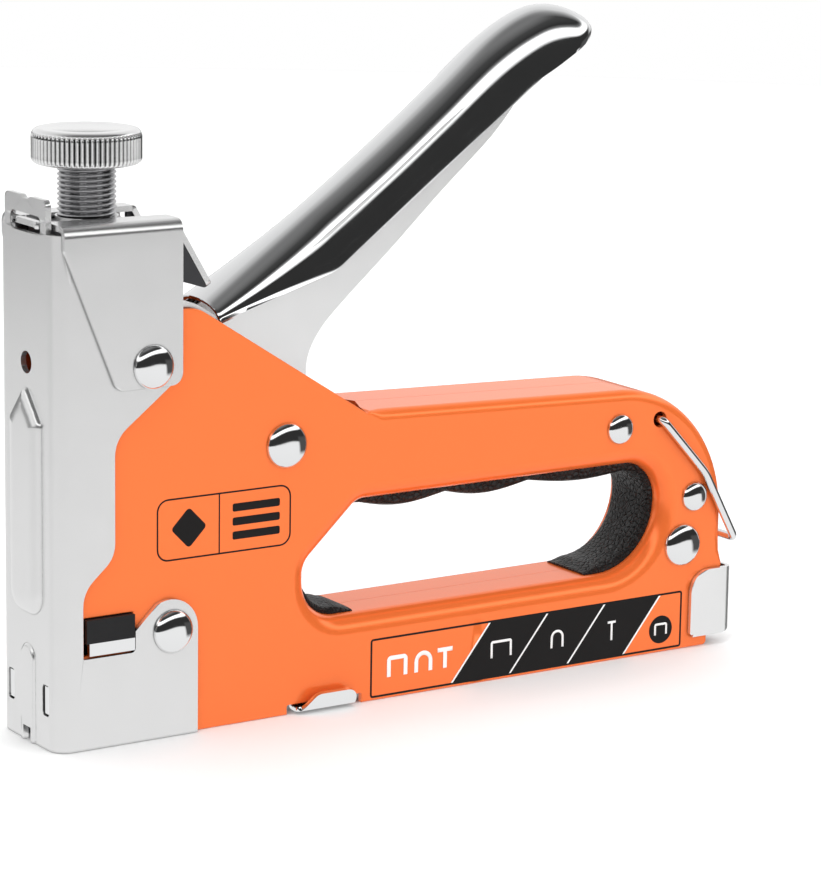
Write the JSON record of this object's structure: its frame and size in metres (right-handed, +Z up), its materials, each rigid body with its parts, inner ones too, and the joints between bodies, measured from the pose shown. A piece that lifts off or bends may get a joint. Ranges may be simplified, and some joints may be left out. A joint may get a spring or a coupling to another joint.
{
  "type": "staple gun",
  "caption": "Squeeze-lever hand staple gun with a painted pressed body, silver sheet nose, knurled power screw, chromed lever, slide-out magazine and wire lever catch.",
  "frame": {"origin": "foot of the nose's front plate, in the middle of the sighting notch where the staple leaves", "axes": "+X to the rear along the magazine, +Y to the tool's right, +Z up from the nose's foot towards the power screw"},
  "size_m": [0.1743, 0.0312, 0.145],
  "materials": {
    "orange_paint": "gloss",
    "zinc": "satin",
    "chrome": "polished",
    "steel": "machined",
    "rubber": "grained matte"
  },
  "bodies": {
    "body": {"left_shell": "orange_paint", "right_shell": "orange_paint", "nose_cover": "zinc", "top_bracket": "zinc", "lever_slot_guard": "zinc", "nose_guide": "zinc", "bumper": "rubber", "bumper_saddle": "chrome", "hand_grip": "rubber", "magazine_channel": "zinc", "screw_nut": "steel", "bracket_rivets": "chrome", "nose_rivet": "chrome", "lever_axle": "chrome", "handle_rivet": "chrome", "rear_rivet_small": "chrome", "rear_rivet_large": "chrome", "nose_spacer": "steel", "axle_sleeve": "steel", "handle_spacer": "steel", "rear_spacer_small": "steel", "rear_spacer_large": "steel", "latch_leaf_springs": "steel", "main_spring": "steel"},
    "lever": {"lever_cover": "chrome", "lever_arm": "zinc", "lifter_pin": "steel"},
    "driver": {"hammer": "steel", "driver_blade": "steel", "blade_rivets": "steel", "spring_cup": "steel"},
    "seat": {"spring_seat": "steel"},
    "power_screw": {"power_screw": "steel", "power_knob": "chrome"},
    "magazine": {"magazine_rail": "zinc", "end_cap": "zinc", "guide_rod": "steel", "pusher_spring": "steel"},
    "pusher": {"pusher": "steel"},
    "left_latch": {"left_latch": "chrome"},
    "right_latch": {"right_latch": "chrome"},
    "bail": {"wire_bail": "chrome"}
  },
  "joints": [
    {"name": "lever_pivot", "type": "hinge", "parent": "body", "child": "lever", "pos_m": [0.0541, 0, 0.0579], "axis": [0, 1, 0], "range_deg": [0, 36], "stiffness_Nm_per_rad": 2, "springref_deg": -14.32},
    {"name": "driver_slide", "type": "slide", "parent": "body", "child": "driver", "axis": [0, 0, 1], "range_m": [0, 0.0217], "deforming": ["main_spring"]},
    {"name": "screw_travel", "type": "slide", "parent": "body", "child": "seat", "axis": [0, 0, -1], "range_m": [-0.002, 0.008], "deforming": ["main_spring"]},
    {"name": "screw_spin", "type": "hinge", "parent": "seat", "child": "power_screw", "pos_m": [0.0138, 0, 0.1], "axis": [0, 0, -1], "range_deg": [-720, 2880]},
    {"name": "magazine_slide", "type": "slide", "parent": "body", "child": "magazine", "axis": [1, 0, 0], "range_m": [0, 0.1]},
    {"name": "pusher_slide", "type": "slide", "parent": "magazine", "child": "pusher", "axis": [1, 0, 0], "range_m": [0, 0.09], "stiffness_N_per_m": 60, "springref_m": -0.03, "deforming": ["pusher_spring"]},
    {"name": "left_latch_press", "type": "slide", "parent": "body", "child": "left_latch", "axis": [0, 1, 0], "range_m": [0, 0.0009], "stiffness_N_per_m": 1500, "springref_m": -0.0006},
    {"name": "right_latch_press", "type": "slide", "parent": "body", "child": "right_latch", "axis": [0, -1, 0], "range_m": [0, 0.0009], "stiffness_N_per_m": 1500, "springref_m": -0.0006},
    {"name": "bail_swing", "type": "hinge", "parent": "body", "child": "bail", "pos_m": [0.1508, 0, 0.0535], "axis": [0, -1, 0], "range_deg": [0, 115]}
  ],
  "couplings": [
    {"joint": "driver_slide", "follows": "lever_pivot", "m_per_rad": 0.034427},
    {"joint": "screw_spin", "follows": "screw_travel", "rad_per_m": 6283.2}
  ]
}
